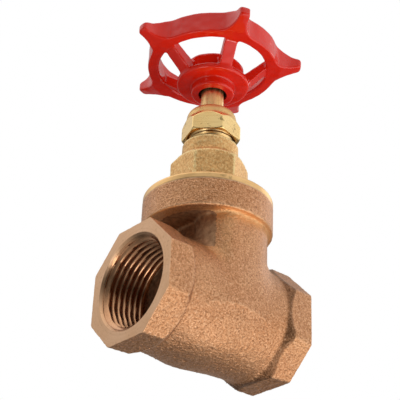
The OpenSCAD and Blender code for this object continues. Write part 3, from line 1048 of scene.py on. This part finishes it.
M = {
    "cast_bronze": cast_bronze(),
    "machined": machined_bronze(),
    "thread": thread_bronze(),
    "inside": inside_bronze(),
    "cast_brass": cast_brass(),
    "flange": turned_brass("turned_flange_brass", (0.92, 0.59, 0.265), (0.82, 0.50, 0.21), (0.30, 0.42), 0.5),
    "gland": turned_brass("gland_nut_brass", (0.97, 0.71, 0.315), (0.92, 0.61, 0.245), (0.20, 0.32), 0.8, crown=0.24),
    "brass": turned_brass("machined_brass", (0.80, 0.56, 0.26), (0.70, 0.46, 0.20), (0.25, 0.38), 0.4),
    "stem": drawn_bronze(),
    "red": red_paint(),
    "steel": plain_metal("zinc_steel", (0.62, 0.62, 0.60), (0.45, 0.45, 0.44), (0.28, 0.42)),
    "plate": brushed_plate(),
    "ptfe": plain_metal("seat_plastic", (0.80, 0.79, 0.76), (0.66, 0.65, 0.62), (0.4, 0.55), 0.0, 300, 0.08),
    "packing": packing_braid(),
    "gasket": plain_metal("gasket_sheet", (0.09, 0.09, 0.09), (0.045, 0.045, 0.05), (0.6, 0.75), 0.0, 900, 0.3),
}

# ------------------------------------------------------------------ body: cast outside, machined ends, threads, bores in a darker bronze as painted shade
# body: cast outside, machined ends, threads, dark bores
c, n = faces_data(t_body.data)
ax = np.abs(c[:, 0])
rx, rz = polar(c[:, 1], c[:, 2]), polar(c[:, 0], c[:, 1])
idx = np.zeros(len(c), int)
end = ax > END_X - 0.02
port = (rx < MOUTH_R + 0.02) & (ax > 11.2) & (ax < END_X + 0.01)
idx[(ax < 12.4) & (rx < 13.6) & (rz < 15.5)] = 3
idx[(rz < 15.05) & (c[:, 2] > 12.0)] = 3
idx[port] = 2
idx[port & (rx > ROOT_R + 0.03)] = 1
idx[end] = 1
idx[(c[:, 2] > 30.69) & (rz < 18.8)] = 1
idx[(rz < 15.42) & (c[:, 2] > 25.4)] = 1
set_slots(t_body, [M["cast_bronze"], M["machined"], M["thread"], M["inside"]], idx)
smooth(t_body, 38)
hollow = ring_count(t_body.data, "hollow", 1)
set_value(t_body, "hollow", np.clip(hollow / 0.03, -3, 3))
set_value(t_body, "recess", recess(t_body, body_outside))
v = vert_array(t_body.data).astype(float)
r = polar(v[:, 1], v[:, 2])
cone = np.abs((16.9 - v[:, 0]) * 0.56 + (r - 16.4) * 0.828)
scale = np.clip((0.55 - cone) / 0.3, 0, 1) * np.clip((r - 16.2) / 0.25, 0, 1) * (v[:, 0] > 14) * (v[:, 0] < 19.2)
set_value(t_body, "scale", scale)

c, n = faces_data(t_bonnet.data)
r, z = polar(c[:, 0], c[:, 1]), c[:, 2]
idx = np.zeros(len(c), int)
idx[(z < 33.06) & (r > 13.5)] = 1
idx[(z < 31.2) | (r < 6.72) & (z > 51.5) | (r < 5.75)] = 2
set_slots(t_bonnet, [M["cast_brass"], M["flange"], M["brass"]], idx)
smooth(t_bonnet, 38)
hollow = ring_count(t_bonnet.data, "hollow", 1)
set_value(t_bonnet, "hollow", np.clip(hollow / 0.02, -3, 3))

set_slots(t_wheel, [M["red"]])
smooth(t_wheel, 50)
hollow = ring_count(t_wheel.data, "hollow", 10)
set_value(t_wheel, "hollow", np.clip(hollow / 0.012, -3, 3))

for obj, mat, deg in ((t_nut, M["gland"], 24), (t_stem, M["stem"], 40), (t_wheel_nut, M["steel"], 30), (t_washer, M["steel"], 30), (t_plate, M["plate"], 30)):
    set_slots(obj, [mat])
    smooth(obj, deg)
for obj in t_packing:
    set_slots(obj, [M["packing"]])
    smooth(obj, 60)

CARRIED = {
    "seat_ring": "brass", "bonnet_gasket": "gasket", "disc_holder": "brass", "seat_disc": "ptfe", "seat_disc_washer": "steel",
    "seat_disc_nut": "brass", "disc_retaining_nut": "brass", "packing_washer": "brass", "gland_follower": "brass",
}
for node, mat in CARRIED.items():
    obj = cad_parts[node]
    for s in obj.material_slots:
        s.material = M[mat]
    if not obj.material_slots:
        obj.data.materials.append(M[mat])

for obj, body, node, slot in (
    (t_body, "valve_body", "body", "cast_bronze"), (t_bonnet, "valve_body", "bonnet", "cast_brass"),
    (t_stem, "spindle", "stem", "stem_bronze"), (t_wheel, "spindle", "handwheel", "red_paint"),
    (t_nut, "gland_nut", "gland_nut", "machined_brass"), (t_wheel_nut, "spindle", "handwheel_nut", "steel"),
    (t_washer, "spindle", "handwheel_washer", "steel"), (t_plate, "spindle", "identification_plate", "plate"),
    (t_packing[0], "valve_body", "packing_ring_lower", "packing"), (t_packing[1], "valve_body", "packing_ring_middle", "packing"),
    (t_packing[2], "valve_body", "packing_ring_upper", "packing"),
):
    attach(obj, body)
    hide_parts(node)


# ------------------------------------------------------------------ floor, world and lights
def floor():
    v = [(-4, -4, -0.62), (4, -4, -0.62), (4, 4, -0.62), (-4, 4, -0.62)]
    obj = new_object("floor", v, [(0, 1, 2, 3)])
    g = Graph("pale_floor")
    n1 = g.noise(3, 3, 0.5)
    g.set(Base_Color=g.mix(n1, (0.80, 0.80, 0.80), (0.84, 0.84, 0.83)), Roughness=0.7)
    obj.data.materials.append(g.mat)
    obj.visible_glossy = obj.visible_diffuse = obj.visible_shadow = False


floor()


def make_world():
    w = bpy.data.worlds.new("studio")
    scene.world = w
    w.use_nodes = True
    t = w.node_tree
    t.nodes.clear()
    out = t.nodes.new("ShaderNodeOutputWorld")
    seen = t.nodes.new("ShaderNodeBackground")
    seen.inputs[0].default_value = (1, 1, 1, 1)
    seen.inputs[1].default_value = 1.0
    lit = t.nodes.new("ShaderNodeBackground")
    path = t.nodes.new("ShaderNodeLightPath")
    mix = t.nodes.new("ShaderNodeMixShader")
    t.links.new(path.outputs["Is Camera Ray"], mix.inputs[0])
    t.links.new(lit.outputs[0], mix.inputs[1])
    t.links.new(seen.outputs[0], mix.inputs[2])
    t.links.new(mix.outputs[0], out.inputs[0])
    coord = t.nodes.new("ShaderNodeTexCoord").outputs["Generated"]

    def lobe(direction, lo, hi, a, b):
        d = Vector(direction).normalized()
        dot = t.nodes.new("ShaderNodeVectorMath")
        dot.operation = "DOT_PRODUCT"
        t.links.new(coord, dot.inputs[0])
        dot.inputs[1].default_value = d
        m = t.nodes.new("ShaderNodeMapRange")
        m.interpolation_type = "SMOOTHSTEP"
        t.links.new(dot.outputs["Value"], m.inputs[0])
        for i, x in enumerate((lo, hi, a, b)):
            m.inputs[i + 1].default_value = x
        return m.outputs[0]

    total = None
    for direction, start, radiance in WORLD_GLOWS:
        v = lobe(direction, start, 1.0, 0.0, radiance)
        if total is None:
            total = v
        else:
            m = t.nodes.new("ShaderNodeMath")
            m.operation = "ADD"
            t.links.new(total, m.inputs[0])
            t.links.new(v, m.inputs[1])
            total = m.outputs[0]
    t.links.new(total, lit.inputs[1])
    lit.inputs[0].default_value = (1.0, 1.0, 1.0, 1)
    w.cycles.sampling_method = "MANUAL"
    w.cycles.sample_map_resolution = 512


# wide soft glows around the object: (direction, cosine where it starts, radiance at the middle)
WORLD_GLOWS = [
    ((-0.38, 0.19, 0.91), 0.62, 0.70),
    ((0.52, 0.15, 0.84), 0.62, 0.32),
    ((-0.32, -0.53, 0.78), 0.62, 0.69),
    ((-0.14, 0.68, 0.72), 0.62, 0.29),
    ((0.61, -0.45, 0.66), 0.62, 0.49),
    ((-0.80, -0.09, 0.59), 0.62, 0.12),
    ((-0.63, 0.66, 0.41), 0.62, 0.52),
    ((0.15, 0.96, 0.22), 0.62, 0.19),
    ((0.55, -0.82, 0.16), 0.62, 0.50),
    ((0.88, 0.48, 0.03), 0.62, 0.25),
    ((0.46, 0.84, -0.28), 0.62, 0.06),
    ((0.22, -0.91, -0.34), 0.62, 0.21),
    ((0.54, -0.52, -0.66), 0.62, 1.47),
    ((-0.70, 0.02, -0.72), 0.62, 0.50),
    ((-0.25, 0.34, -0.91), 0.62, 0.20),
    ((0.08, -0.80, 0.59), 0.88, 0.14),
]
make_world()


def softbox(name, direction, distance, size, radiance, colour=(1, 1, 1)):
    data = bpy.data.lights.new(name, "AREA")
    data.shape = "RECTANGLE"
    data.size, data.size_y = size
    data.energy = radiance * math.pi * size[0] * size[1]
    data.color = colour
    obj = bpy.data.objects.new(name, data)
    scene.collection.objects.link(obj)
    d = Vector(direction).normalized()
    target = Vector((0, 0, 0.03))
    obj.location = target + d * distance
    obj.rotation_euler = (-d).to_track_quat("-Z", "Y").to_euler()
    obj.visible_camera = False


softbox("low", (0.04, -0.38, -0.92), 0.50, (0.26, 0.12), 3.8)
softbox("port", (-0.77, -0.22, -0.60), 0.60, (0.18, 0.18), 3.6)
softbox("right", (0.87, -0.02, 0.42), 0.60, (0.32, 0.25), 1.1)
